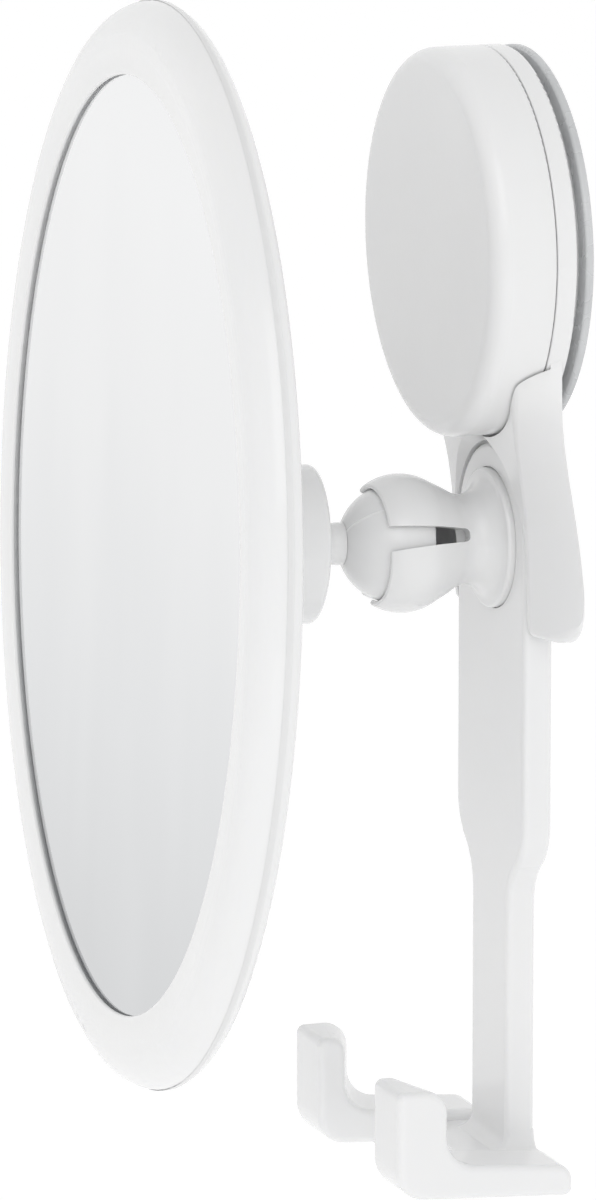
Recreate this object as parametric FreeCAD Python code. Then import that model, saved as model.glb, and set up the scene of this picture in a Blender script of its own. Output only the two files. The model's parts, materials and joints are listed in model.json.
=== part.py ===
import FreeCAD, Part
import math
import os

# Shaving mirror that holds itself to a wall by a twist suction base. A bracket hangs below the base and
# takes the arm, which carries a ball joint with the round mirror in front and a two-beam razor holder below.
#
# Frame: origin at the centre of the suction pad's wall face. +Y goes into the wall, so the mirror faces -Y,
# +Z is up and +X is to the right of a person who faces the mirror. Millimetres.

# Suction base (radii, and Y of each face)
BASE_R = 30.9
KNOB_FRONT_Y = -16.5
KNOB_BACK_Y = -6.2
KNOB_EDGE_R = 3.0
KNOB_WALL = 2.0
KNOB_SKIRT_WALL = 2.2
KNOB_HUB_R = 8.5
KNOB_RIB_COUNT = 6
KNOB_RIB_WALL = 1.5
KNOB_REGISTER_ROOM = 3.0
RING_FRONT_Y = -6.05
RING_BACK_Y = -2.74
PLATE_FRONT_Y = -5.2
PLATE_BACK_Y = -3.2
REGISTER_HEIGHT = 2.5
REGISTER_WALL = 1.6
TURN_GAP = 0.25
PRESS_RIB_IN_R = 25.5
PRESS_RIB_OUT_R = 27.5
TOWER_R = 12.0
TOWER_FRONT_Y = -9.4
TOWER_WALL = 2.4
WASHER_T = 0.6
WASHER_R = 9.0
HUB_END_GAP = 0.15

# Suction pad and its drawing stud
PAD_R = 30.8
PAD_RIM_T = 1.3
PAD_MIDDLE_T = 2.2
PAD_HUB_R = 9.6
PAD_HUB_FRONT_Y = -6.2
PAD_SKIN = 0.9
PAD_LIP_T = 1.2
STUD_R = 3.95
STUD_BORE_GAP = 0.45
STUD_FOOT_R = 7.0
STUD_FOOT_T = 1.4
STUD_FOOT_FLATS = 11.2
STUD_FOOT_BACK_Y = -1.0
STUD_FRONT_Y = -12.6
FOOT_GAP = 0.3
NUT_FLATS = 13.0
NUT_T = 3.9
NUT_BORE_GAP = 0.08

# Bracket that hangs below the base: (z, front half width, front y, back half width, back y)
SHIELD_SECTIONS = [
    (-14.0, 24.6, -13.0, 26.8, -3.9),
    (-21.5, 23.0, -10.7, 26.6, -3.6),
    (-27.0, 19.4, -8.9, 26.2, -3.2),
    (-33.0, 17.4, -7.4, 26.4, -2.5),
    (-42.0, 16.7, -5.9, 27.6, -1.4),
    (-51.0, 16.7, -5.3, 28.9, -0.7),
    (-61.5, 16.9, -4.9, 30.2, -0.3),
]
SHIELD_BOTTOM_Z = -61.5
SHIELD_HALF_W = 29.8
SHIELD_CORNER_R = 9.0
SHIELD_FRONT_ROUND = 2.0
SHIELD_BOTTOM_ROUND = 1.5
DRUM_CLEAR_R = 31.3
DRUM_CLEAR_BACK_Y = -5.5
POCKET_GAP_TOP = 0.4
POCKET_GAP_BOTTOM = 0.8
POCKET_CHAMFER = 4.0
POCKET_CHAMFER_DEPTH = 6.0
RAIL_REACH = 14.6
RAIL_T = 0.9
RAIL_GAP = 0.2
RAIL_Y = -3.3
RAIL_TOP_Z = -48.6
RAIL_BOTTOM_Z = -61.0

# Arm with the razor holder
ARM_HALF_W = 15.15
ARM_FOOT_HALF_W = 8.05
ARM_FRONT_Y = -5.35
ARM_BACK_Y = -0.45
ARM_NECK_TOP_Z = -97.0
ARM_NECK_BOTTOM_Z = -103.0
ARM_NECK_R = 9.4
ARM_EDGE_R = 0.9
BEAM_IN_X = 12.8
BEAM_OUT_X = 24.6
BEAM_REAR_Y = -0.1
LIP_FRONT_Y = -29.84
LIP_TOP_Z = -131.95
LIP_BOTTOM_Z = -149.47
LIP_DEPTH_IN = 4.4
LIP_DEPTH_OUT = 9.0
LIP_TOP_R_IN = 2.4
LIP_TOP_R_OUT = 4.2
LIP_CHIN_R = 5.0
LIP_FOOT_R = 5.0
LIP_EDGE_R = 1.3
BEAM_EDGE_R = 1.1
BEAM_REAR_R = 2.6
BEAM_TOP_FRONT_Z = -143.7
BEAM_TOP_REAR_Z = -146.2
BEAM_BOTTOM_REAR_Z = -151.1
WEB_TOP_Z = -147.4
WEB_T = 3.6
WEB_FRONT_Y = -13.0
WEB_NOTCH_R = 4.5
FLARE_REACH = 2.6
FLARE_HEIGHT = 3.2
FLARE_REAR_R = 0.3

# Ball joint
BALL_Y = -21.4
BALL_Z = -48.1
BALL_R = 9.55
BALL_FLAT = 4.1
SOCKET_IN_R = 9.75
SOCKET_OUT_R = 11.1
SOCKET_MOUTH = 3.95
SOCKET_LIP_T = 1.0
SOCKET_LIP_CROWN = 0.35
SLOT_MOUTH_H = 5.2
SLOT_END_H = 2.0
SLOT_END = 9.9
SLOT_TURN_DEG = 16.0
SLOT_START_R = 5.0
JAW_COUNT = 3
FLANGE_R = 11.24
NECK_START = 5.15
NECK_WAIST = [(8.35, 7.9), (7.35, 9.9), (7.35, 11.9), (8.5, 13.9)]
FLANGE_FRONT_Y = -6.5
FLANGE_EDGE_R = 0.5
FLANGE_SEAT_DEPTH = 0.6
FLANGE_SEAT_GAP = 0.15
PEG_R = 1.2
PEG_X = 7.5
PEG_L = 1.4
SOCKET_SCREW_R = 2.0
SOCKET_SCREW_L = 6.4
SCREW_HEAD_R = 3.5
SCREW_HEAD_T = 1.2
SCREW_WELL_R = 4.6
SCREW_WELL_DEPTH = 2.0
SCREW_WASHER_R = 4.4
SCREW_WASHER_T = 0.6
CROSS_SPAN = 3.6
CROSS_SLOT = 0.8
CROSS_DEPTH = 0.8

# Mirror head, as distances in front of the ball's centre along the mirror's own axis
HEAD_YAW_DEG = -4.4
HEAD_PITCH_DEG = 2.4
STEM_R = 3.3
STEM_FOOT_R = 3.4
STEM_FOOT_GAP = 0.1
STEM_BORE_GAP = 0.07
STEM_END = 19.9
STEM_CORE_R = 1.25
BOSS_R = 12.65
BOSS_BACK = 14.0
BOSS_WALL_END = 19.7
BOSS_WELL_R = 8.4
BOSS_FRONT = 27.5
STEM_WASHER_R = 6.5
STEM_WASHER_T = 1.0
STEM_SCREW_HEAD_R = 2.9
STEM_SCREW_HEAD_T = 2.2
STEM_SCREW_L = 6.0
BOSS_SCREW_CIRCLE_R = 10.55
BOSS_SCREW_COUNT = 3
BOSS_SCREW_R = 1.25
BOSS_SCREW_L = 7.0
BOSS_SCREW_HEAD_R = 2.3
BOSS_SCREW_HEAD_T = 1.4
HEAD_R = 86.0
BEZEL_IN_R = 74.2
BEZEL_FRONT = 45.8
BEZEL_LIP_FRONT = 45.5
BEZEL_BACK = 38.1
BEZEL_NEST_R = 80.5
BEZEL_OUT_ROUND = 5.5
BEZEL_BACK_ROUND = 3.0
GASKET_FRONT = 45.0
GLASS_FRONT = 44.6
GLASS_BACK = 42.0
GLASS_R = 76.2
GLASS_BEVEL = 0.4
GLASS_GAP = 0.2
FOAM_BACK = 40.5
FOAM_R = 70.0
SHELL_WALL = 2.4
SHELL_R = 80.3
SHELL_RIM_IN_R = 72.5
SHELL_RIM_CHAMFER = 1.5
SHELL_FLAT_R = 17.0
SHELL_BULGE_R = 50.0
SHELL_BULGE = 31.1
SHELL_ACCESS_R = 5.0
SHELL_RIB_COUNT = 8
SHELL_RIB_WALL = 1.6

BALL_CENTRE = FreeCAD.Vector(0, BALL_Y, BALL_Z)
X_DIR = FreeCAD.Vector(1, 0, 0)
Y_DIR = FreeCAD.Vector(0, 1, 0)
Z_DIR = FreeCAD.Vector(0, 0, 1)


# ---- Shape helpers ----

def in_xy(u, v):
    return FreeCAD.Vector(u, v, 0)


def in_xz(u, v):
    return FreeCAD.Vector(u, 0, v)


def in_yz(u, v):
    return FreeCAD.Vector(0, u, v)


def unit(du, dv):
    length = math.hypot(du, dv)
    return du / length, dv / length


def corner_arc(before, corner, after):
    """Start, middle and end of the tangent arc that rounds a corner given as (u, v, radius)."""
    u, v, radius = corner
    back = unit(before[0] - u, before[1] - v)
    ahead = unit(after[0] - u, after[1] - v)
    half_angle = math.acos(back[0] * ahead[0] + back[1] * ahead[1]) / 2
    reach = radius / math.tan(half_angle)
    inward = unit(back[0] + ahead[0], back[1] + ahead[1])
    to_middle = radius / math.sin(half_angle) - radius
    start = (u + back[0] * reach, v + back[1] * reach)
    middle = (u + inward[0] * to_middle, v + inward[1] * to_middle)
    end = (u + ahead[0] * reach, v + ahead[1] * reach)
    return start, middle, end


def rounded_wire(corners, place):
    """Closed wire round the corners (u, v, radius); place turns (u, v) into a point in space."""
    count = len(corners)
    pieces = []
    for i, corner in enumerate(corners):
        if corner[2] > 0:
            pieces.append(corner_arc(corners[i - 1], corner, corners[(i + 1) % count]))
        else:
            pieces.append((corner[:2], None, corner[:2]))
    edges = []
    for i, (start, middle, end) in enumerate(pieces):
        if middle is not None:
            edges.append(Part.Arc(place(*start), place(*middle), place(*end)).toShape())
        following = place(*pieces[(i + 1) % count][0])
        leaving = place(*end)
        if leaving.distanceToPoint(following) > 1e-6:
            edges.append(Part.LineSegment(leaving, following).toShape())
    return Part.Wire(edges)


def prism_x(corners, x_low, x_high):
    face = Part.Face(rounded_wire(corners, in_yz))
    face.translate(X_DIR * x_low)
    return face.extrude(X_DIR * (x_high - x_low))


def prism_y(corners, y_low, y_high):
    face = Part.Face(rounded_wire(corners, in_xz))
    face.translate(Y_DIR * y_low)
    return face.extrude(Y_DIR * (y_high - y_low))


def prism_z(corners, z_low, z_high):
    face = Part.Face(rounded_wire(corners, in_xy))
    face.translate(Z_DIR * z_low)
    return face.extrude(Z_DIR * (z_high - z_low))


def turned(corners):
    """Solid of revolution about the Y axis from (radius, y, corner radius) corners."""
    face = Part.Face(rounded_wire(corners, in_xy))
    return face.revolve(FreeCAD.Vector(0, 0, 0), Y_DIR, 360)


def disc(radius, y_front, y_back, x=0.0, z=0.0):
    return Part.makeCylinder(radius, y_back - y_front, FreeCAD.Vector(x, y_front, z), Y_DIR)


def ring(r_in, r_out, y_front, y_back):
    return disc(r_out, y_front, y_back).cut(disc(r_in, y_front - 1, y_back + 1))


def hex_disc(flats, y_front, y_back):
    corner_r = flats / math.sqrt(3)
    corners = []
    for i in range(6):
        angle = math.radians(60 * i)
        corners.append((corner_r * math.cos(angle), corner_r * math.sin(angle), 0))
    return prism_y(corners, y_front, y_back)


def box(x0, x1, y0, y1, z0, z1):
    return Part.makeBox(x1 - x0, y1 - y0, z1 - z0, FreeCAD.Vector(x0, y0, z0))


def fused(shapes):
    solid = shapes[0]
    for shape in shapes[1:]:
        solid = solid.fuse(shape)
    return solid.removeSplitter()


def around_y(shape, count, start_deg=0.0):
    """Copies of a shape spaced evenly round the Y axis."""
    copies = []
    for i in range(count):
        copy = shape.copy()
        copy.rotate(FreeCAD.Vector(0, 0, 0), Y_DIR, start_deg + 360 * i / count)
        copies.append(copy)
    return copies


def mirrored_x(shape):
    return shape.mirror(FreeCAD.Vector(0, 0, 0), X_DIR)


def softened(shape, radius, wanted):
    """Round every edge that the test wanted(edge) picks."""
    edges = [edge for edge in shape.Edges if wanted(edge)]
    return shape.makeFillet(radius, edges)


def at_joint(shape):
    """Move a shape turned about the Y axis through the origin to the ball joint's own axis."""
    shape.translate(FreeCAD.Vector(0, 0, BALL_Z))
    return shape


def ahead_y(distance):
    """Y of a plane that lies this far in front of the ball's centre."""
    return BALL_Y - distance


def aimed(shape):
    """Turn a ball, stem or head piece about the ball's centre to the way the mirror faces at rest."""
    shape.rotate(BALL_CENTRE, X_DIR, -HEAD_PITCH_DEG)
    shape.rotate(BALL_CENTRE, Z_DIR, HEAD_YAW_DEG)
    return shape


# ---- Suction base ----

def suction_pad():
    plate = turned([
        (0, 0, 0), (PAD_R, 0, 0.3), (PAD_R, -PAD_RIM_T, 0.5), (PRESS_RIB_IN_R - 1.5, -PAD_RIM_T, 2),
        (TOWER_R, -PAD_MIDDLE_T, 1), (0, -PAD_MIDDLE_T, 0),
    ])
    hub = disc(PAD_HUB_R, PAD_HUB_FRONT_Y, -PAD_MIDDLE_T)
    well_front = PAD_HUB_FRONT_Y + PAD_LIP_T
    well = disc(STUD_FOOT_R + FOOT_GAP, well_front, -PAD_SKIN)
    half_flats = STUD_FOOT_FLATS / 2 + FOOT_GAP
    well = well.common(box(-half_flats, half_flats, well_front - 1, 0, -20, 20))
    mouth = disc(STUD_R + STUD_BORE_GAP, PAD_HUB_FRONT_Y - 1, well_front)
    return fused([plate, hub]).cut(well).cut(mouth)


def pad_stud():
    foot = disc(STUD_FOOT_R, STUD_FOOT_BACK_Y - STUD_FOOT_T, STUD_FOOT_BACK_Y)
    half_flats = STUD_FOOT_FLATS / 2
    foot = foot.common(box(-half_flats, half_flats, -10, 0, -20, 20))
    shank = turned([
        (0, STUD_FOOT_BACK_Y - STUD_FOOT_T, 0), (STUD_R, STUD_FOOT_BACK_Y - STUD_FOOT_T, 0),
        (STUD_R, STUD_FRONT_Y, 0.8), (0, STUD_FRONT_Y, 0),
    ])
    return fused([foot, shank])


def base_plate():
    register_r = BASE_R - KNOB_SKIRT_WALL - TURN_GAP
    rim = turned([
        (register_r - REGISTER_WALL, RING_FRONT_Y, 0), (BASE_R, RING_FRONT_Y, 0.3),
        (BASE_R, RING_BACK_Y, 0.5), (register_r - REGISTER_WALL, RING_BACK_Y, 0),
    ])
    register = ring(register_r - REGISTER_WALL, register_r, RING_FRONT_Y - REGISTER_HEIGHT, RING_FRONT_Y)
    plate = disc(register_r, PLATE_FRONT_Y, PLATE_BACK_Y)
    press_rib = ring(PRESS_RIB_IN_R, PRESS_RIB_OUT_R, PLATE_BACK_Y, -PAD_RIM_T)
    tower = disc(TOWER_R, TOWER_FRONT_Y, PLATE_BACK_Y)
    hub_well = disc(PAD_HUB_R + FOOT_GAP, TOWER_FRONT_Y + TOWER_WALL, 0)
    stud_hole = disc(STUD_R + STUD_BORE_GAP, TOWER_FRONT_Y - 1, 0)
    return fused([rim, register, plate, press_rib, tower]).cut(hub_well).cut(stud_hole)


def shield_section(z, front_half, front_y, back_half, back_y):
    corners = [
        (front_half, front_y, 0), (back_half, back_y, 0), (-back_half, back_y, 0), (-front_half, front_y, 0),
    ]
    return rounded_wire(corners, lambda u, v: FreeCAD.Vector(u, v, z))


def arm_pocket():
    """The space that the arm slides up into: arched on top with a sloping edge, and open below."""
    top_half = ARM_HALF_W + POCKET_GAP_TOP
    bottom_half = ARM_HALF_W + POCKET_GAP_BOTTOM
    arch = disc(top_half, -40, 10, 0, BALL_Z)
    below = SHIELD_BOTTOM_Z - 5
    flare = [(top_half, BALL_Z, 0), (bottom_half, SHIELD_BOTTOM_Z, 0), (bottom_half, below, 0),
             (-bottom_half, below, 0), (-bottom_half, SHIELD_BOTTOM_Z, 0), (-top_half, BALL_Z, 0)]
    chamfer_foot = FreeCAD.Vector(0, ARM_FRONT_Y, BALL_Z)
    chamfer_r = top_half + POCKET_CHAMFER
    arch_chamfer = Part.makeCone(top_half, chamfer_r, POCKET_CHAMFER_DEPTH, chamfer_foot, -Y_DIR)
    return arch.fuse(prism_y(flare, -40, 10)).fuse(arch_chamfer)


def pocket_rails():
    """The two rails on the cheeks that run in the arm's side grooves."""
    outer = ARM_HALF_W + 1.5
    right = box(RAIL_REACH, outer, RAIL_Y - RAIL_T / 2, RAIL_Y + RAIL_T / 2, RAIL_BOTTOM_Z, RAIL_TOP_Z)
    return [right, mirrored_x(right)]


def shield():
    """The bracket's hanging part: two buttressed cheeks that meet over the arm's arched top."""
    sections = [shield_section(*row) for row in SHIELD_SECTIONS]
    block = Part.makeLoft(sections, True, False)
    outline = [(SHIELD_HALF_W, 0, 0), (SHIELD_HALF_W, SHIELD_BOTTOM_Z, SHIELD_CORNER_R),
               (-SHIELD_HALF_W, SHIELD_BOTTOM_Z, SHIELD_CORNER_R), (-SHIELD_HALF_W, 0, 0)]
    block = block.common(prism_y(outline, -40, 10))

    def long_front(edge):
        middle = edge.CenterOfMass
        return abs(middle.x) > ARM_HALF_W and middle.y < ARM_FRONT_Y and edge.Length > SHIELD_HALF_W

    def bottom_front(edge):
        middle = edge.CenterOfMass
        return abs(middle.x) < 1 and middle.y < -4 and abs(middle.z - SHIELD_BOTTOM_Z) < 1

    block = softened(block, SHIELD_FRONT_ROUND, long_front)
    block = softened(block, SHIELD_BOTTOM_ROUND, bottom_front)
    block = block.cut(disc(DRUM_CLEAR_R, -40, DRUM_CLEAR_BACK_Y))
    block = block.cut(arm_pocket())
    return fused([block] + pocket_rails())


def base_bracket():
    plate = base_plate()
    hanging = shield().cut(disc(BASE_R - 1.4, -40, 10))
    return fused([plate, hanging])


def thrust_washer():
    return ring(STUD_R + STUD_BORE_GAP, WASHER_R, TOWER_FRONT_Y - WASHER_T, TOWER_FRONT_Y)


def knob_cap():
    skirt_in_r = BASE_R - KNOB_SKIRT_WALL
    inner_front = KNOB_FRONT_Y + KNOB_WALL
    shell = turned([
        (0, KNOB_FRONT_Y, 0), (BASE_R, KNOB_FRONT_Y, KNOB_EDGE_R), (BASE_R, KNOB_BACK_Y, 0.3),
        (skirt_in_r, KNOB_BACK_Y, 0.2), (skirt_in_r, inner_front, 1.5), (0, inner_front, 0),
    ])
    hub_back = TOWER_FRONT_Y - WASHER_T - HUB_END_GAP
    hub = disc(KNOB_HUB_R, inner_front - 0.5, hub_back)
    half_rib = KNOB_RIB_WALL / 2
    rib = box(KNOB_HUB_R - 0.5, skirt_in_r + 0.5, inner_front - 0.5, hub_back, -half_rib, half_rib)
    register_room = ring(skirt_in_r - KNOB_REGISTER_ROOM, BASE_R, RING_FRONT_Y - REGISTER_HEIGHT - 1, 0)
    rib = rib.cut(register_room)
    nut_well = hex_disc(NUT_FLATS, inner_front, hub_back + 1)
    return fused([shell, hub] + around_y(rib, KNOB_RIB_COUNT)).cut(nut_well)


def knob_nut():
    nut_front = KNOB_FRONT_Y + KNOB_WALL
    nut = hex_disc(NUT_FLATS, nut_front, nut_front + NUT_T)
    return nut.cut(disc(STUD_R + NUT_BORE_GAP, nut_front - 1, 0))


# ---- Arm and razor holder ----

def arm_blade():
    top = BALL_Z + ARM_HALF_W
    foot = WEB_TOP_Z - WEB_T / 2
    outline = [
        (ARM_HALF_W, top, ARM_HALF_W), (ARM_HALF_W, ARM_NECK_TOP_Z, ARM_NECK_R),
        (ARM_FOOT_HALF_W, ARM_NECK_BOTTOM_Z, ARM_NECK_R), (ARM_FOOT_HALF_W, foot, 0),
        (-ARM_FOOT_HALF_W, foot, 0), (-ARM_FOOT_HALF_W, ARM_NECK_BOTTOM_Z, ARM_NECK_R),
        (-ARM_HALF_W, ARM_NECK_TOP_Z, ARM_NECK_R), (-ARM_HALF_W, top, ARM_HALF_W),
    ]
    blade = prism_y(outline, ARM_FRONT_Y, ARM_BACK_Y)

    def on_a_face(edge):
        ys = [vertex.Y for vertex in edge.Vertexes]
        above_foot = max(vertex.Z for vertex in edge.Vertexes) > foot + 1
        return above_foot and abs(ys[0] - ys[-1]) < 1e-6

    return softened(blade, ARM_EDGE_R, on_a_face)


def fork_profile(x, lip_depth, lip_round):
    """Side outline of one beam with its upturned lip, in the plane at this x."""
    lip_back_y = LIP_FRONT_Y + lip_depth
    slope = (BEAM_TOP_FRONT_Z - BEAM_TOP_REAR_Z) / (BEAM_REAR_Y - LIP_FRONT_Y)
    lip_foot_z = BEAM_TOP_FRONT_Z - slope * lip_depth
    corners = [
        (LIP_FRONT_Y, LIP_TOP_Z, LIP_EDGE_R), (LIP_FRONT_Y, LIP_BOTTOM_Z, LIP_CHIN_R),
        (BEAM_REAR_Y, BEAM_BOTTOM_REAR_Z, LIP_EDGE_R), (BEAM_REAR_Y, BEAM_TOP_REAR_Z, BEAM_REAR_R),
        (lip_back_y, lip_foot_z, LIP_FOOT_R), (lip_back_y, LIP_TOP_Z, lip_round),
    ]
    return rounded_wire(corners, lambda u, v: FreeCAD.Vector(x, u, v))


def fork_side():
    """Right beam: the lip is twice as deep on its outer side, and every side edge is rounded."""
    inner = fork_profile(BEAM_IN_X, LIP_DEPTH_IN, LIP_TOP_R_IN)
    outer = fork_profile(BEAM_OUT_X, LIP_DEPTH_OUT, LIP_TOP_R_OUT)
    side = Part.makeLoft([inner, outer], True, True)

    def on_a_side(edge):
        xs = [vertex.X for vertex in edge.Vertexes]
        return abs(xs[0] - xs[-1]) < 1e-6

    return softened(side, BEAM_EDGE_R, on_a_side)


def cross_web():
    """Thin web behind the notch, which joins the two beams and carries the arm's foot."""
    half = (BEAM_IN_X + BEAM_OUT_X) / 2
    notch_front = WEB_FRONT_Y - 6
    plan = [
        (-half, BEAM_REAR_Y, 1), (half, BEAM_REAR_Y, 1), (half, notch_front, 0), (BEAM_IN_X, notch_front, 0),
        (BEAM_IN_X, WEB_FRONT_Y, WEB_NOTCH_R), (-BEAM_IN_X, WEB_FRONT_Y, WEB_NOTCH_R),
        (-BEAM_IN_X, notch_front, 0), (-half, notch_front, 0),
    ]
    return prism_z(plan, WEB_TOP_Z - WEB_T, WEB_TOP_Z)


def flare_section(reach, corner, above_web):
    """Section of the foot's flare: grown by reach at the front and sides, at this height over the web."""
    half = ARM_FOOT_HALF_W + reach
    front = ARM_FRONT_Y - reach
    corners = [
        (half, front, corner), (half, ARM_BACK_Y, FLARE_REAR_R),
        (-half, ARM_BACK_Y, FLARE_REAR_R), (-half, front, corner),
    ]
    return rounded_wire(corners, lambda u, v: FreeCAD.Vector(u, v, WEB_TOP_Z + above_web))


def foot_flare():
    """Fillet between the arm's foot and the web, in front and on both sides."""
    lower = flare_section(FLARE_REACH, 1.5 * ARM_EDGE_R, -0.2)
    middle = flare_section(0.3 * FLARE_REACH, ARM_EDGE_R, 0.25 * FLARE_HEIGHT)
    upper = flare_section(0, ARM_EDGE_R, FLARE_HEIGHT)
    return Part.makeLoft([lower, middle, upper], True, False)


def side_grooves():
    """Grooves for the bracket's rails; they stop at the rails' lower ends, the top of the slide."""
    inner = RAIL_REACH - RAIL_GAP
    half_t = RAIL_T / 2 + RAIL_GAP
    low_z = RAIL_BOTTOM_Z - RAIL_GAP
    right = box(inner, ARM_HALF_W + 1, RAIL_Y - half_t, RAIL_Y + half_t, low_z, BALL_Z + ARM_HALF_W)
    return right.fuse(mirrored_x(right))


def holder_arm():
    right = fork_side()
    arm = fused([arm_blade(), cross_web(), foot_flare(), right, mirrored_x(right)])
    seat_back = ARM_FRONT_Y + FLANGE_SEAT_DEPTH
    arm = arm.cut(disc(FLANGE_R + FLANGE_SEAT_GAP, ARM_FRONT_Y - 5, seat_back, 0, BALL_Z))
    arm = arm.cut(disc(SOCKET_SCREW_R + 0.2, ARM_FRONT_Y - 1, ARM_BACK_Y + 1, 0, BALL_Z))
    arm = arm.cut(disc(SCREW_WELL_R, ARM_BACK_Y - SCREW_WELL_DEPTH, ARM_BACK_Y + 5, 0, BALL_Z))
    for x in (-PEG_X, PEG_X):
        arm = arm.cut(disc(PEG_R, seat_back - 1, seat_back + PEG_L, x, BALL_Z))
    return arm.cut(side_grooves())


# ---- Ball joint ----

def socket_outline():
    """Half section of the socket: jaws, neck and flange, as (radius, y) with y from the ball's centre."""
    mouth_in = math.sqrt(SOCKET_IN_R ** 2 - SOCKET_MOUTH ** 2)
    mouth_out = mouth_in + SOCKET_LIP_T
    neck_start_r = math.sqrt(SOCKET_OUT_R ** 2 - NECK_START ** 2)
    flange_front = FLANGE_FRONT_Y - BALL_Y
    flange_back = ARM_FRONT_Y + FLANGE_SEAT_DEPTH - BALL_Y
    neck = Part.BSplineCurve()
    flange_top = in_xy(FLANGE_R - FLANGE_EDGE_R, flange_front)
    flange_side = in_xy(FLANGE_R, flange_front + FLANGE_EDGE_R)
    short_of_corner = FLANGE_EDGE_R * (1 - math.sqrt(0.5))
    flange_corner = in_xy(FLANGE_R - short_of_corner, flange_front + short_of_corner)
    waist = [in_xy(radius, y) for radius, y in NECK_WAIST]
    neck.interpolate(
        Points=[in_xy(neck_start_r, NECK_START)] + waist + [flange_top],
        InitialTangent=in_xy(-NECK_START, neck_start_r), FinalTangent=in_xy(SOCKET_OUT_R, 0))
    edge_round = Part.Arc(flange_top, flange_corner, flange_side)
    lip_in = in_xy(mouth_in, -SOCKET_MOUTH)
    lip_out = in_xy(mouth_out, -SOCKET_MOUTH)
    lip_crown = in_xy((mouth_out + mouth_in) / 2, -SOCKET_MOUTH - SOCKET_LIP_CROWN)
    lip = Part.Arc(lip_in, lip_crown, lip_out)
    outside = Part.Arc(lip_out, in_xy(SOCKET_OUT_R, 0), in_xy(neck_start_r, NECK_START))
    cavity = Part.Arc(in_xy(0, SOCKET_IN_R), in_xy(SOCKET_IN_R, 0), lip_in)
    lines = [
        (flange_side, in_xy(FLANGE_R, flange_back)),
        (in_xy(FLANGE_R, flange_back), in_xy(0, flange_back)),
        (in_xy(0, flange_back), in_xy(0, SOCKET_IN_R)),
    ]
    edges = [curve.toShape() for curve in (cavity, lip, outside, neck, edge_round)]
    edges += [Part.LineSegment(start, end).toShape() for start, end in lines]
    return Part.Face(Part.Wire(Part.sortEdges(edges)[0]))


def jaw_slots():
    """Tapering slots between the jaws, each with a round end at the neck."""
    front = BALL_Y - SOCKET_OUT_R - 1
    end = BALL_Y + SLOT_END
    mouth = SLOT_MOUTH_H / 2
    inner = SLOT_END_H / 2
    corners = [
        (front, -mouth, 0), (end, -inner, inner * 0.8), (end, inner, inner * 0.8), (front, mouth, 0),
    ]
    slot = prism_x(corners, SLOT_START_R, SOCKET_OUT_R + 1)
    return [at_joint(copy) for copy in around_y(slot, JAW_COUNT, -SLOT_TURN_DEG)]


def ball_socket():
    body = socket_outline().revolve(FreeCAD.Vector(0, 0, 0), Y_DIR, 360)
    body.translate(BALL_CENTRE)
    seat_back = ARM_FRONT_Y + FLANGE_SEAT_DEPTH
    pegs = [disc(PEG_R, seat_back - 0.3, seat_back + PEG_L, x, BALL_Z) for x in (-PEG_X, PEG_X)]
    screw_hole_front = ARM_BACK_Y - SCREW_WELL_DEPTH - SOCKET_SCREW_L
    screw_hole = disc(SOCKET_SCREW_R, screw_hole_front, ARM_BACK_Y, 0, BALL_Z)
    socket = fused([body] + pegs).cut(screw_hole)
    for slot in jaw_slots():
        socket = socket.cut(slot)
    return socket


def socket_washer():
    back = ARM_BACK_Y - SCREW_WELL_DEPTH + SCREW_WASHER_T
    washer = ring(SOCKET_SCREW_R + 0.2, SCREW_WASHER_R, back - SCREW_WASHER_T, back)
    return at_joint(washer)


def socket_screw():
    head_front = ARM_BACK_Y - SCREW_WELL_DEPTH + SCREW_WASHER_T
    head = turned([
        (0, head_front, 0), (SCREW_HEAD_R, head_front, 0), (SCREW_HEAD_R, head_front + SCREW_HEAD_T, 0.5),
        (0, head_front + SCREW_HEAD_T, 0),
    ])
    shank = disc(SOCKET_SCREW_R, ARM_BACK_Y - SCREW_WELL_DEPTH - SOCKET_SCREW_L, head_front)
    return at_joint(fused([head, shank]).cut(cross_recess(head_front + SCREW_HEAD_T, -1)))


def cross_recess(y_face, inward):
    """Driver's cross in a screw head whose face is at y_face; inward is 1 towards +Y, -1 towards -Y."""
    y_front, y_back = sorted((y_face - inward, y_face + inward * CROSS_DEPTH))
    half, thin = CROSS_SPAN / 2, CROSS_SLOT / 2
    flat = box(-half, half, y_front, y_back, -thin, thin)
    return flat.fuse(box(-thin, thin, y_front, y_back, -half, half))


def ball():
    sphere = Part.makeSphere(BALL_R, BALL_CENTRE)
    keep = box(-20, 20, BALL_Y - 20, BALL_Y + BALL_FLAT, BALL_Z - 20, BALL_Z + 20)
    return aimed(sphere.common(keep))


def ball_stem():
    stem = turned([
        (0, ahead_y(8), 0), (STEM_FOOT_R, ahead_y(8), 0), (STEM_FOOT_R, ahead_y(10.2), 0.6),
        (STEM_R, ahead_y(11.0), 0.6), (STEM_R, ahead_y(STEM_END), 0.2), (0, ahead_y(STEM_END), 0),
    ])
    stem = at_joint(stem).cut(Part.makeSphere(BALL_R + STEM_FOOT_GAP, BALL_CENTRE))
    core = disc(STEM_CORE_R, ahead_y(STEM_END + 1), ahead_y(STEM_END - STEM_SCREW_L), 0, BALL_Z)
    return aimed(stem.cut(core))


def stem_washer():
    washer = ring(STEM_CORE_R + 0.1, STEM_WASHER_R, ahead_y(STEM_END + STEM_WASHER_T), ahead_y(STEM_END))
    return aimed(at_joint(washer))


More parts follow.
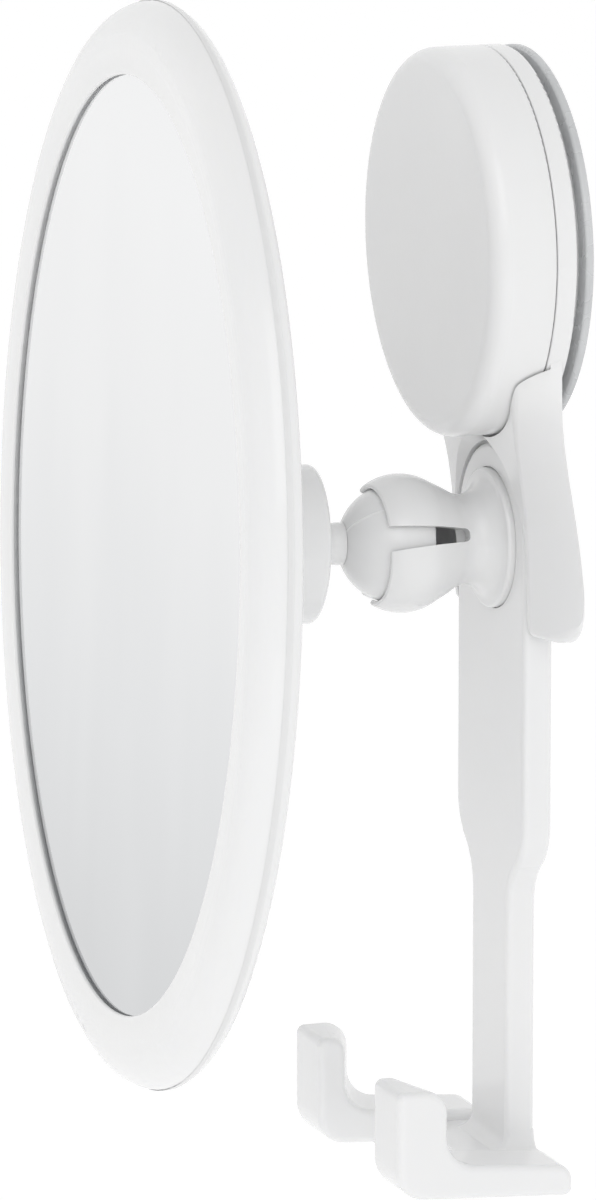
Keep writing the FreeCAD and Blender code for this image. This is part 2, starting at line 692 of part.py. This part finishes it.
def stem_screw():
    head_back = STEM_END + STEM_WASHER_T
    head_front = head_back + STEM_SCREW_HEAD_T
    head = turned([
        (0, ahead_y(head_front), 0), (STEM_SCREW_HEAD_R, ahead_y(head_front), 0.6),
        (STEM_SCREW_HEAD_R, ahead_y(head_back), 0), (0, ahead_y(head_back), 0),
    ])
    shank = disc(STEM_CORE_R, ahead_y(head_back), ahead_y(STEM_END - STEM_SCREW_L))
    screw = fused([head, shank]).cut(cross_recess(ahead_y(head_front), 1))
    return aimed(at_joint(screw))


# ---- Mirror head ----

def boss_screw_spots(shape):
    return [at_joint(copy) for copy in around_y(shape, BOSS_SCREW_COUNT, 30)]


def stem_boss():
    boss = turned([
        (0, ahead_y(BOSS_BACK), 0), (BOSS_R, ahead_y(BOSS_BACK), 0.9), (BOSS_R, ahead_y(BOSS_FRONT), 0),
        (BOSS_WELL_R, ahead_y(BOSS_FRONT), 0), (BOSS_WELL_R, ahead_y(BOSS_WALL_END), 0.5),
        (0, ahead_y(BOSS_WALL_END), 0),
    ])
    boss = at_joint(boss.cut(disc(STEM_R + STEM_BORE_GAP, ahead_y(BOSS_FRONT), BALL_Y)))
    hole = disc(BOSS_SCREW_R, ahead_y(BOSS_FRONT + 1), ahead_y(BOSS_FRONT + SHELL_WALL - BOSS_SCREW_L))
    hole.translate(X_DIR * BOSS_SCREW_CIRCLE_R)
    for spot in boss_screw_spots(hole):
        boss = boss.cut(spot)
    return aimed(boss)


def boss_screws():
    head_back = BOSS_FRONT + SHELL_WALL
    head_front = head_back + BOSS_SCREW_HEAD_T
    head = turned([
        (0, ahead_y(head_back), 0), (BOSS_SCREW_HEAD_R, ahead_y(head_back), 0),
        (BOSS_SCREW_HEAD_R, ahead_y(head_front), 0.5), (0, ahead_y(head_front), 0),
    ])
    screw = fused([head, disc(BOSS_SCREW_R, ahead_y(head_back), ahead_y(head_back - BOSS_SCREW_L))])
    screw = screw.cut(cross_recess(ahead_y(head_front), 1))
    screw.translate(X_DIR * BOSS_SCREW_CIRCLE_R)
    return aimed(Part.makeCompound(boss_screw_spots(screw)))


def shell_half_section():
    """Half section of the back shell as a face in the (radius, y) plane."""
    def spot(radius, ahead):
        return in_xy(radius, ahead_y(ahead))

    back_flat = spot(SHELL_FLAT_R, BOSS_FRONT)
    back_rim = spot(SHELL_R - SHELL_RIM_CHAMFER, BEZEL_BACK)
    flat_inside = BOSS_FRONT + SHELL_WALL
    inner_flat = spot(SHELL_FLAT_R, flat_inside)
    inner_rim = spot(SHELL_RIM_IN_R, BEZEL_BACK + SHELL_WALL / 2)
    outer_curve = Part.Arc(back_flat, spot(SHELL_BULGE_R, SHELL_BULGE), back_rim).toShape()
    inner_curve = Part.Arc(inner_rim, spot(SHELL_BULGE_R, SHELL_BULGE + SHELL_WALL), inner_flat).toShape()
    rim = [
        back_rim, spot(SHELL_R, BEZEL_BACK + 1), spot(SHELL_R, GLASS_BACK),
        spot(SHELL_RIM_IN_R, GLASS_BACK), inner_rim,
    ]
    middle = [inner_flat, spot(SHELL_ACCESS_R, flat_inside), spot(SHELL_ACCESS_R, BOSS_FRONT), back_flat]
    edges = [outer_curve, inner_curve]
    for points in (rim, middle):
        for start, end in zip(points, points[1:]):
            edges.append(Part.LineSegment(start, end).toShape())
    return Part.Face(Part.Wire(Part.sortEdges(edges)[0]))


def back_shell():
    shell = shell_half_section().revolve(FreeCAD.Vector(0, 0, 0), Y_DIR, 360)
    rib = box(SHELL_FLAT_R, SHELL_RIM_IN_R + 1, ahead_y(FOAM_BACK), ahead_y(BOSS_FRONT + 1),
              -SHELL_RIB_WALL / 2, SHELL_RIB_WALL / 2)
    rib_limits = Part.Face(Part.Wire(Part.sortEdges(rib_limit_edges())[0]))
    rib = rib.common(rib_limits.revolve(FreeCAD.Vector(0, 0, 0), Y_DIR, 360))
    shell = at_joint(fused([shell] + around_y(rib, SHELL_RIB_COUNT)))
    hole = disc(BOSS_SCREW_R + 0.15, ahead_y(BOSS_FRONT + SHELL_WALL + 1), ahead_y(BOSS_FRONT - 1))
    hole.translate(X_DIR * BOSS_SCREW_CIRCLE_R)
    for spot in boss_screw_spots(hole):
        shell = shell.cut(spot)
    return aimed(shell)


def rib_limit_edges():
    """Edges of the half section that the ribs fill, just inside the shell's wall."""
    wall_half = SHELL_WALL / 2
    low_in = in_xy(SHELL_FLAT_R, ahead_y(BOSS_FRONT + wall_half))
    low_out = in_xy(SHELL_RIM_IN_R + 0.5, ahead_y(BEZEL_BACK + 0.6))
    bulge = in_xy(SHELL_BULGE_R, ahead_y(SHELL_BULGE + wall_half))
    top_out = in_xy(SHELL_RIM_IN_R + 0.5, ahead_y(FOAM_BACK))
    top_in = in_xy(SHELL_FLAT_R, ahead_y(FOAM_BACK))
    edges = [Part.Arc(low_in, bulge, low_out).toShape()]
    for start, end in ((low_out, top_out), (top_out, top_in), (top_in, low_in)):
        edges.append(Part.LineSegment(start, end).toShape())
    return edges


def bezel_ring():
    ledge = GLASS_BACK + 0.1
    section = [
        (BEZEL_IN_R, ahead_y(GASKET_FRONT), 0), (BEZEL_IN_R, ahead_y(BEZEL_LIP_FRONT), 0.3),
        (BEZEL_IN_R + 4.5, ahead_y(BEZEL_FRONT), 8), (HEAD_R, ahead_y(BEZEL_FRONT - 0.3), BEZEL_OUT_ROUND),
        (HEAD_R, ahead_y(BEZEL_BACK), BEZEL_BACK_ROUND), (BEZEL_NEST_R, ahead_y(BEZEL_BACK), 0.4),
        (BEZEL_NEST_R, ahead_y(ledge), 0), (GLASS_R + GLASS_GAP, ahead_y(ledge), 0),
        (GLASS_R + GLASS_GAP, ahead_y(GASKET_FRONT), 0),
    ]
    return aimed(at_joint(turned(section)))


def glass_gasket():
    gasket = ring(BEZEL_IN_R + 0.6, GLASS_R, ahead_y(GASKET_FRONT), ahead_y(GLASS_FRONT))
    return aimed(at_joint(gasket))


def mirror_glass():
    glass = turned([
        (0, ahead_y(GLASS_FRONT), 0), (GLASS_R - GLASS_BEVEL, ahead_y(GLASS_FRONT), 0),
        (GLASS_R, ahead_y(GLASS_FRONT - GLASS_BEVEL), 0), (GLASS_R, ahead_y(GLASS_BACK), 0),
        (0, ahead_y(GLASS_BACK), 0),
    ])
    return aimed(at_joint(glass))


def foam_backing():
    return aimed(at_joint(disc(FOAM_R, ahead_y(GLASS_BACK), ahead_y(FOAM_BACK))))


NODES = [
    suction_pad, pad_stud, base_bracket, thrust_washer, knob_cap, knob_nut,
    holder_arm, ball_socket, socket_washer, socket_screw,
    ball, ball_stem, stem_washer, stem_screw,
    stem_boss, boss_screws, back_shell, bezel_ring, glass_gasket, mirror_glass, foam_backing,
]


def main():
    os.makedirs("parts", exist_ok=True)
    for build in NODES:
        shape = build()
        solids = len(shape.Solids)
        print(build.__name__, "solids", solids, "valid", shape.isValid(), "volume", round(shape.Volume))
        shape.exportStep("parts/" + build.__name__ + ".step")


main()
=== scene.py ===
import json
import math

import bmesh
import bpy
from mathutils import Matrix, Vector


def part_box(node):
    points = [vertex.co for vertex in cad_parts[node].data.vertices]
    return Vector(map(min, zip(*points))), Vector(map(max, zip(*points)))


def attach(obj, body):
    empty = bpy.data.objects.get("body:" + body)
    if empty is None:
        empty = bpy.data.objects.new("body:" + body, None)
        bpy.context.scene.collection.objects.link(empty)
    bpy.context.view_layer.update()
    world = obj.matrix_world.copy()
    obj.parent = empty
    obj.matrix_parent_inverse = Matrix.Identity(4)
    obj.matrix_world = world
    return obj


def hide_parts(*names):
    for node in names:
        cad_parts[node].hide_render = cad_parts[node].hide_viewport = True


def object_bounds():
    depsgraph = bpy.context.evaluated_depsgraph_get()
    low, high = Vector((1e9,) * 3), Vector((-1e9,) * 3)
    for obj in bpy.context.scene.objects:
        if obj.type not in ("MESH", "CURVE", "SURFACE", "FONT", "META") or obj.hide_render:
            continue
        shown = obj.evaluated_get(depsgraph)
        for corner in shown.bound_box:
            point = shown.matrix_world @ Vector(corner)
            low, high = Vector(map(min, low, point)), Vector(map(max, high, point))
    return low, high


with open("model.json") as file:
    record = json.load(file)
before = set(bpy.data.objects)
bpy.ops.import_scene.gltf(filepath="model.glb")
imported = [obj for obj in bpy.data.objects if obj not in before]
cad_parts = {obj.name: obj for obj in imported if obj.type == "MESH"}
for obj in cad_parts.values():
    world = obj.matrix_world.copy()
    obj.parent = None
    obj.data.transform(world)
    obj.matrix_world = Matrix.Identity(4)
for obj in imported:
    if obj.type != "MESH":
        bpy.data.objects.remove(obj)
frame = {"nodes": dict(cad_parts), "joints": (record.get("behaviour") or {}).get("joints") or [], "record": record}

CAD_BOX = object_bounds()

# Camera: where it stands, in metres, and its direction from the object, in degrees
CAMERA_AT = Vector((1.2339, -0.4735, 0.2036))
CAMERA_AZIMUTH = 70.56
CAMERA_ELEVATION = 11.23
CAMERA_LENS_MM = 252.15
CAMERA_SENSOR_MM = 36.0
CAMERA_NEAR = 0.05
CAMERA_FAR = 50

# Floor: how far it lies below the object, its radius, its sides and how strongly it shines by itself
FLOOR_DROP = 0.30
FLOOR_R = 8.0
FLOOR_SIDES = 64
FLOOR_GLOW = 0.20

# Studio surround: white from the ground up to a low height, then dimmer towards the top
SURROUND_STRENGTH = 0.95
SURROUND_WHITE = (1.0, 1.0, 1.0)
SURROUND_TOP = (0.82, 0.82, 0.82)
WHITE_UP_TO = 0.25
LAMP_AIM = (0, 0, -0.05)

# The middle of a noise texture's values, which is stretched over a finish's whole range
NOISE_LOW = 0.3
NOISE_HIGH = 0.7

PLASTIC_IOR = 1.5

# Mirror's painted reflection: how much its upright bands add to the height, and its silver colour from the bottom
# to the top, lighter upwards as a reflected studio would be
REFLECTION_BAND_SHARE = 0.22
PAINTED_REFLECTION_STOPS = [
    (0.15, (0.56, 0.57, 0.58)), (0.42, (0.685, 0.695, 0.705)), (0.74, (0.80, 0.805, 0.81)),
    (1.00, (0.85, 0.855, 0.86)),
]

# Parting line that the mould leaves on the ball: its turn about the stem, its height and its half width
SEAM_TURN = math.radians(48)
SEAM_HEIGHT = 0.00013
SEAM_HALF_W = 0.00018
BALL_STEPS_ROUND = 720
BALL_STEPS_ALONG = 96

JOINTS = {joint["name"]: joint for joint in frame["joints"]}
SPIN_AXIS = Vector(JOINTS["mirror_spin"]["axis"]).normalized()
BALL_CENTRE = Vector(JOINTS["mirror_spin"]["pos_m"])


# ---- Node helpers ----

def new_material(name):
    material = bpy.data.materials.new(name)
    material.use_nodes = True
    nodes = material.node_tree.nodes
    shader = nodes["Principled BSDF"]
    return material, nodes, material.node_tree.links, shader


def set_inputs(node, values):
    for name, value in values.items():
        node.inputs[name].default_value = value


def object_coordinates(nodes, links, stretch=(1, 1, 1)):
    coordinates = nodes.new("ShaderNodeTexCoord")
    mapping = nodes.new("ShaderNodeMapping")
    set_inputs(mapping, {"Scale": stretch})
    links.new(coordinates.outputs["Object"], mapping.inputs["Vector"])
    return mapping.outputs["Vector"]


def noise(nodes, links, vector, scale, detail=2.0):
    texture = nodes.new("ShaderNodeTexNoise")
    set_inputs(texture, {"Scale": scale, "Detail": detail})
    links.new(vector, texture.inputs["Vector"])
    return texture.outputs["Fac"]


def ramp(nodes, links, value, stops):
    """Colour ramp over (position, colour) stops."""
    band = nodes.new("ShaderNodeValToRGB")
    elements = band.color_ramp.elements
    elements[0].position, elements[0].color = stops[0][0], (*stops[0][1], 1)
    elements[1].position, elements[1].color = stops[-1][0], (*stops[-1][1], 1)
    for position, colour in stops[1:-1]:
        element = elements.new(position)
        element.color = (*colour, 1)
    links.new(value, band.inputs["Fac"])
    return band.outputs["Color"]


def to_range(nodes, links, value, low, high):
    """The noise value's middle part, stretched so that it runs from low to high."""
    scaled = nodes.new("ShaderNodeMapRange")
    set_inputs(scaled, {"From Min": NOISE_LOW, "From Max": NOISE_HIGH, "To Min": low, "To Max": high})
    links.new(value, scaled.inputs["Value"])
    return scaled.outputs["Result"]


def bump(nodes, links, shader, height, strength, distance):
    node = nodes.new("ShaderNodeBump")
    set_inputs(node, {"Strength": strength, "Distance": distance})
    links.new(height, node.inputs["Height"])
    links.new(node.outputs["Normal"], shader.inputs["Normal"])


# ---- Materials ----

def gloss_plastic():
    """Injection-moulded white plastic: faint flow clouds, uneven polish and a very fine orange peel."""
    material, nodes, links, shader = new_material("gloss_white_plastic")
    vector = object_coordinates(nodes, links)
    clouds = noise(nodes, links, vector, scale=14, detail=3)
    colour = ramp(nodes, links, clouds, [(0.35, (0.79, 0.793, 0.796)), (0.65, (0.82, 0.82, 0.82))])
    links.new(colour, shader.inputs["Base Color"])
    polish = noise(nodes, links, vector, scale=90, detail=3)
    links.new(to_range(nodes, links, polish, low=0.20, high=0.27), shader.inputs["Roughness"])
    peel = noise(nodes, links, vector, scale=900)
    bump(nodes, links, shader, peel, strength=0.05, distance=0.0002)
    set_inputs(shader, {
        "IOR": PLASTIC_IOR,
        "Subsurface Weight": 0.15,
        "Subsurface Radius": (0.004, 0.004, 0.0045),
        "Subsurface Scale": 0.5,
        "Coat Weight": 0.25,
        "Coat Roughness": 0.1,
    })
    return material


def pad_vinyl():
    """Grey see-through vinyl with a smooth skin and faint cloudiness."""
    material, nodes, links, shader = new_material("grey_translucent_vinyl")
    vector = object_coordinates(nodes, links)
    clouds = noise(nodes, links, vector, scale=60, detail=3)
    colour = ramp(nodes, links, clouds, [(0.3, (0.60, 0.61, 0.62)), (0.7, (0.70, 0.71, 0.72))])
    links.new(colour, shader.inputs["Base Color"])
    polish = noise(nodes, links, vector, scale=200)
    links.new(to_range(nodes, links, polish, low=0.22, high=0.32), shader.inputs["Roughness"])
    grain = noise(nodes, links, vector, scale=500)
    bump(nodes, links, shader, grain, strength=0.06, distance=0.0002)
    set_inputs(shader, {"Transmission Weight": 0.15, "IOR": PLASTIC_IOR})
    return material


def mirror_with_painted_reflection():
    """Mirror with a painted reflection: its silver colour grows lighter upwards, with soft upright bands, standing
    in for the studio it would reflect.
    """
    material, nodes, links, shader = new_material("mirror_painted_reflection")
    low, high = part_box("mirror_glass")
    upright = object_coordinates(nodes, links, stretch=(1.0, 1.0, 0.35))
    reflection_bands = noise(nodes, links, upright, scale=34)
    split = nodes.new("ShaderNodeSeparateXYZ")
    links.new(object_coordinates(nodes, links), split.inputs["Vector"])
    height = nodes.new("ShaderNodeMapRange")
    set_inputs(height, {"From Min": low[2], "From Max": high[2]})
    links.new(split.outputs["Z"], height.inputs["Value"])
    mixed = nodes.new("ShaderNodeMath")
    mixed.operation = "MULTIPLY_ADD"
    mixed.inputs[1].default_value = REFLECTION_BAND_SHARE
    links.new(reflection_bands, mixed.inputs[0])
    links.new(height.outputs["Result"], mixed.inputs[2])
    # Painted reflection: the silver's colour follows the height and the upright bands
    colour = ramp(nodes, links, mixed.outputs["Value"], PAINTED_REFLECTION_STOPS)
    links.new(colour, shader.inputs["Base Color"])
    links.new(to_range(nodes, links, reflection_bands, low=0.05, high=0.02), shader.inputs["Roughness"])
    set_inputs(shader, {"Metallic": 1.0})
    return material


def turned_metal(name, dark, light):
    """Machined or plated metal with fine turning marks."""
    material, nodes, links, shader = new_material(name)
    vector = object_coordinates(nodes, links, stretch=(1, 12, 1))
    marks = noise(nodes, links, vector, scale=700, detail=4)
    colour = ramp(nodes, links, marks, [(0.3, dark), (0.7, light)])
    links.new(colour, shader.inputs["Base Color"])
    links.new(to_range(nodes, links, marks, low=0.25, high=0.4), shader.inputs["Roughness"])
    bump(nodes, links, shader, marks, strength=0.08, distance=0.0002)
    set_inputs(shader, {"Metallic": 1.0})
    return material


def soft_matt(name, dark, light, grain, depth):
    """Foam, rubber and slip plastic: matt and finely grained."""
    material, nodes, links, shader = new_material(name)
    vector = object_coordinates(nodes, links)
    cells = noise(nodes, links, vector, scale=grain, detail=4)
    colour = ramp(nodes, links, cells, [(0.3, dark), (0.7, light)])
    links.new(colour, shader.inputs["Base Color"])
    links.new(to_range(nodes, links, cells, low=0.55, high=0.75), shader.inputs["Roughness"])
    bump(nodes, links, shader, cells, strength=depth, distance=0.0003)
    return material


FINISHES = {
    "white_plastic": gloss_plastic(),
    "pad_vinyl": pad_vinyl(),
    "mirror_silver": mirror_with_painted_reflection(),
    "steel": turned_metal("plated_steel", dark=(0.50, 0.51, 0.52), light=(0.66, 0.67, 0.68)),
    "brass": turned_metal("machined_brass", dark=(0.62, 0.46, 0.20), light=(0.78, 0.62, 0.32)),
    "slip_plastic": soft_matt(
        "natural_slip_plastic", dark=(0.72, 0.71, 0.67), light=(0.80, 0.79, 0.75), grain=400, depth=0.1),
    "gasket_rubber": soft_matt(
        "pale_gasket_rubber", dark=(0.74, 0.74, 0.74), light=(0.80, 0.80, 0.80), grain=500, depth=0.1),
    "foam": soft_matt(
        "grey_foam", dark=(0.20, 0.20, 0.21), light=(0.32, 0.32, 0.33), grain=1200, depth=0.4),
}


def finish_of(node):
    for subpart in frame["record"]["subparts"]:
        if subpart["node"] == node:
            return subpart["material_slot"]
    raise KeyError(node)


def dress(piece, slot):
    piece.data.materials.clear()
    piece.data.materials.append(FINISHES[slot])
    for polygon in piece.data.polygons:
        polygon.material_index = 0


for node_name, node_object in frame["nodes"].items():
    dress(node_object, finish_of(node_name))


# ---- Ball with its parting line ----

def flat_depth():
    """How far the ball's rear flat lies behind its centre, along the stem's axis."""
    vertices = frame["nodes"]["ball"].data.vertices
    return max((BALL_CENTRE - vertex.co).dot(SPIN_AXIS) for vertex in vertices)


def seam_rise(turn, round_r):
    """Height of the parting line above the ball at this turn about the stem; it runs down both sides."""
    off_plane = abs(math.sin(turn - SEAM_TURN)) * round_r
    return SEAM_HEIGHT * math.exp(-(off_plane / SEAM_HALF_W) ** 2)


def ball_rings(shape, radius):
    """Rings of points about the stem's axis, from beside the ball's tip to the edge of its rear flat."""
    across = Vector((0, 0, 1)).cross(SPIN_AXIS).normalized()
    upward = SPIN_AXIS.cross(across)
    flat_turn = math.acos(-flat_depth() / radius)
    rings = []
    for i in range(1, BALL_STEPS_ALONG + 1):
        polar = flat_turn * i / BALL_STEPS_ALONG
        round_r = radius * math.sin(polar)
        ring = []
        for j in range(BALL_STEPS_ROUND):
            turn = 2 * math.pi * j / BALL_STEPS_ROUND
            out = across * math.cos(turn) + upward * math.sin(turn)
            direction = SPIN_AXIS * math.cos(polar) + out * math.sin(polar)
            ring.append(shape.verts.new(BALL_CENTRE + direction * (radius + seam_rise(turn, round_r))))
        rings.append(ring)
    return rings


def seamed_ball():
    """The ball, smooth all round but for the fine raised line where the mould's halves met."""
    low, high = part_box("ball")
    radius = (high[0] - low[0]) / 2
    shape = bmesh.new()
    rings = ball_rings(shape, radius)
    tip = shape.verts.new(BALL_CENTRE + SPIN_AXIS * radius)
    for j in range(BALL_STEPS_ROUND):
        following = (j + 1) % BALL_STEPS_ROUND
        shape.faces.new((tip, rings[0][j], rings[0][following]))
        for inner, outer in zip(rings, rings[1:]):
            shape.faces.new((inner[j], outer[j], outer[following], inner[following]))
    flat = shape.faces.new(rings[-1])
    for face in shape.faces:
        face.smooth = face is not flat
    bmesh.ops.recalc_face_normals(shape, faces=shape.faces)
    mesh = bpy.data.meshes.new("seamed_ball")
    shape.to_mesh(mesh)
    shape.free()
    piece = bpy.data.objects.new("seamed_ball", mesh)
    bpy.context.scene.collection.objects.link(piece)
    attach(piece, "ball")
    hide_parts("ball")
    dress(piece, "white_plastic")


seamed_ball()


# ---- Floor, light and camera ----

def add_floor():
    mesh = bpy.data.meshes.new("floor")
    shape = bmesh.new()
    bmesh.ops.create_circle(shape, cap_ends=True, segments=FLOOR_SIDES, radius=FLOOR_R)
    shape.to_mesh(mesh)
    shape.free()
    floor = bpy.data.objects.new("floor", mesh)
    floor.location = (0, 0, CAD_BOX[0][2] - FLOOR_DROP)
    bpy.context.scene.collection.objects.link(floor)
    material, _, _, shader = new_material("pale_floor")
    set_inputs(shader, {
        "Base Color": (0.93, 0.93, 0.93, 1),
        "Roughness": 0.9,
        "Emission Color": (1, 1, 1, 1),
        "Emission Strength": FLOOR_GLOW,
    })
    mesh.materials.append(material)


def add_world():
    """Studio surround: white round the horizon and a little dimmer overhead."""
    world = bpy.data.worlds.new("studio")
    bpy.context.scene.world = world
    world.use_nodes = True
    nodes, links = world.node_tree.nodes, world.node_tree.links
    coordinates = nodes.new("ShaderNodeTexCoord")
    split = nodes.new("ShaderNodeSeparateXYZ")
    links.new(coordinates.outputs["Generated"], split.inputs["Vector"])
    overhead = ramp(nodes, links, split.outputs["Z"], [
        (0.0, SURROUND_WHITE), (WHITE_UP_TO, SURROUND_WHITE), (1.0, SURROUND_TOP),
    ])
    background = nodes["Background"]
    links.new(overhead, background.inputs["Color"])
    set_inputs(background, {"Strength": SURROUND_STRENGTH})


def add_area_light(name, at, size, watts):
    """Rectangular lamp, size metres wide and high, that points at the object."""
    light = bpy.data.lights.new(name, "AREA")
    light.shape = "RECTANGLE"
    light.size, light.size_y = size
    light.energy = watts
    lamp = bpy.data.objects.new(name, light)
    lamp.location = at
    lamp.rotation_euler = (Vector(LAMP_AIM) - Vector(at)).to_track_quat("-Z", "Y").to_euler()
    bpy.context.scene.collection.objects.link(lamp)


def add_camera():
    azimuth = math.radians(CAMERA_AZIMUTH)
    elevation = math.radians(CAMERA_ELEVATION)
    level = Vector((-math.sin(azimuth), math.cos(azimuth), 0))
    ahead = level * math.cos(elevation) - Vector((0, 0, math.sin(elevation)))
    right = Vector((math.cos(azimuth), math.sin(azimuth), 0))
    up = right.cross(ahead)
    camera = bpy.data.cameras.new("camera")
    camera.sensor_fit = "VERTICAL"
    camera.sensor_height = CAMERA_SENSOR_MM
    camera.lens = CAMERA_LENS_MM
    camera.clip_start = CAMERA_NEAR
    camera.clip_end = CAMERA_FAR
    holder = bpy.data.objects.new("camera", camera)
    axes = Matrix((right, up, -ahead)).transposed().to_4x4()
    holder.matrix_world = Matrix.Translation(CAMERA_AT) @ axes
    bpy.context.scene.collection.objects.link(holder)
    bpy.context.scene.camera = holder


add_floor()
add_world()
add_area_light("key", at=(1.0, -0.45, 0.75), size=(0.9, 0.9), watts=2.4)
add_area_light("low_fill", at=(1.0, -0.3, -0.38), size=(1.2, 0.3), watts=0.4)
add_camera()
bpy.context.scene.view_settings.view_transform = "Standard"
